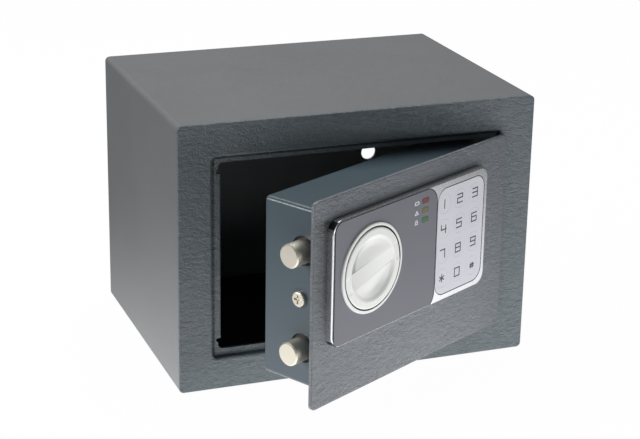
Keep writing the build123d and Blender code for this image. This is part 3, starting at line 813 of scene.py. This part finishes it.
def makeMat():
    work = bmesh.new()
    across, along = mat["across"], mat["along"]
    radius = mat["holeRadius"]
    nearest, farthest = mat["pulled"]
    rows = []
    for row in range(along + 1):
        line = []
        for column in range(across + 1):
            x = mat["wide"] * (column / across - 0.5)
            y = mat["deep"] * (row / along - 0.5)
            for holeX, holeY in mat["holes"]:
                reach = math.hypot(x - holeX, y - holeY)
                if nearest * radius < reach < farthest * radius:
                    grow = radius / reach
                    x, y = holeX + (x - holeX) * grow, holeY + (y - holeY) * grow
            line.append((x, y))
        rows.append(line)

    def openAt(x, y):
        within = radius - mat["openWithin"]
        return any(math.hypot(x - holeX, y - holeY) < within for holeX, holeY in mat["holes"])

    tops, bottoms = {}, {}
    for row, line in enumerate(rows):
        for column, (x, y) in enumerate(line):
            if not openAt(x, y):
                sag = sum(high * math.sin(x * byX + y * byY) for high, byX, byY in mat["waves"])
                top = mat["low"] + mat["thick"] - mat["sink"] + sag
                tops[row, column] = work.verts.new((x * mm, y * mm, top * mm))
                bottoms[row, column] = work.verts.new((x * mm, y * mm, mat["low"] * mm))
    for row in range(along):
        for column in range(across):
            spots = [(row, column), (row, column + 1), (row + 1, column + 1), (row + 1, column)]
            if all(spot in tops for spot in spots):
                work.faces.new([tops[spot] for spot in spots])
                work.faces.new([bottoms[spot] for spot in reversed(spots)])
    low = {vert: key for key, vert in bottoms.items()}
    for side in [side for side in work.edges if side.is_boundary and side.verts[0] in low]:
        first, second = low[side.verts[0]], low[side.verts[1]]
        work.faces.new((bottoms[first], bottoms[second], tops[second], tops[first]))
    bmesh.ops.recalc_face_normals(work, faces=work.faces)
    mesh = bpy.data.meshes.new("felt_mat")
    work.to_mesh(mesh)
    work.free()
    piece = addPiece("felt_mat", mesh, finishes["felt"], "cabinet")
    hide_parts("floor_mat")


makeKnob()
makeMat()
print("knob and mat made")

stage = {
    "floorSize": 14.0,
    "floorTone": tone(236, 236, 236),
    "backTone": (1.0, 1.0, 1.0, 1.0),
    "shown": 0.98,  # share of the floor that shows as plain white
    "glowAt": (0.02, -0.27),
    "near": 1.85,  # how bright the paper is in front of the safe, and far from it
    "far": 0.06,
    "fadeFrom": 0.08,
    "fadeTo": 0.62,
    "skyTone": (0.95, 0.98, 1.0, 1.0),
    "skyLevel": 0.12,
}


def buildFloor():
    work = bmesh.new()
    bmesh.ops.create_grid(work, x_segments=1, y_segments=1, size=stage["floorSize"] / 2)
    mesh = bpy.data.meshes.new("floor")
    work.to_mesh(mesh)
    work.free()
    floor = bpy.data.objects.new("floor", mesh)
    bpy.context.scene.collection.objects.link(floor)
    paper = Finish("floorPaper")
    sight = paper.node("LightPath")
    x, y, z = paper.parts(paper.place())
    across = x - stage["glowAt"][0]
    along = y - stage["glowAt"][1]
    reach = (across * across + along * along) ** 0.5
    faded = paper.span(reach, stage["fadeFrom"], stage["fadeTo"])
    near, far, plain = [
        paper.node("Emission", None, {"Color": stage["backTone"], "Strength": level})
        for level in (stage["near"], stage["far"], 1.0)
    ]
    lit = paper.node("MixShader", None, {0: faded, 1: near, 2: far})
    matte = paper.node("BsdfDiffuse", None, {"Color": stage["floorTone"]})
    seen = paper.node("MixShader", None, {0: stage["shown"], 1: matte, 2: plain})
    mixed = paper.node("MixShader", None, {0: sight, 1: lit, 2: seen})
    paper.node("OutputMaterial", None, {"Surface": mixed})
    floor.data.materials.append(paper.material)


def buildWorld():
    world = bpy.data.worlds.new("studio")
    bpy.context.scene.world = world
    world.use_nodes = True
    sky = Shading(world.node_tree)
    sight = sky.node("LightPath")
    back = sky.node("Background", None, {"Color": stage["backTone"], "Strength": 1.0})
    soft = sky.node("Background", None, {"Color": stage["skyTone"], "Strength": stage["skyLevel"]})
    mixed = sky.node("MixShader", None, {0: sight, 1: soft, 2: back})
    sky.node("OutputWorld", None, {"Surface": mixed})


studioLights = {
    "overhead": {"at": (0.05, 0.4, 1.4), "to": (0, 0, 0.15), "size": 1.0, "watts": 18.5},
    "left": {"at": (-1.5, -0.05, 0.55), "to": (-0.1, 0, 0.15), "size": 0.5, "watts": 15.5},
    "right": {"at": (0.32, -0.62, 0.02), "to": (0.06, -0.1, 0.01), "size": 0.2, "watts": 1.7},
}


def buildLights():
    for name, light in studioLights.items():
        lamp = bpy.data.lights.new(name, "AREA")
        lamp.shape = "SQUARE"
        lamp.size = light["size"]
        lamp.energy = light["watts"]
        holder = bpy.data.objects.new(name, lamp)
        bpy.context.scene.collection.objects.link(holder)
        holder.location = light["at"]
        way = Vector(light["to"]) - Vector(light["at"])
        holder.rotation_euler = way.to_track_quat("-Z", "Y").to_euler()


camera = {
    "at": (-0.38603, -1.03247, 0.46318),
    "turned": (70.42725, -0.9655, -20.47131),  # degrees about X, Y and Z
    "lens": 100.106,
    "sensor": 36.0,
    "clip": (0.05, 50.0),
}


def buildCamera():
    lens = bpy.data.cameras.new("camera")
    lens.lens = camera["lens"]
    lens.sensor_width = camera["sensor"]
    lens.sensor_fit = "HORIZONTAL"
    lens.clip_start, lens.clip_end = camera["clip"]
    holder = bpy.data.objects.new("camera", lens)
    bpy.context.scene.collection.objects.link(holder)
    holder.location = camera["at"]
    holder.rotation_euler = [math.radians(angle) for angle in camera["turned"]]
    bpy.context.scene.camera = holder


buildFloor()
buildWorld()
buildLights()
buildCamera()
bpy.context.scene.view_settings.view_transform = "Standard"
print("stage, lights and camera set")
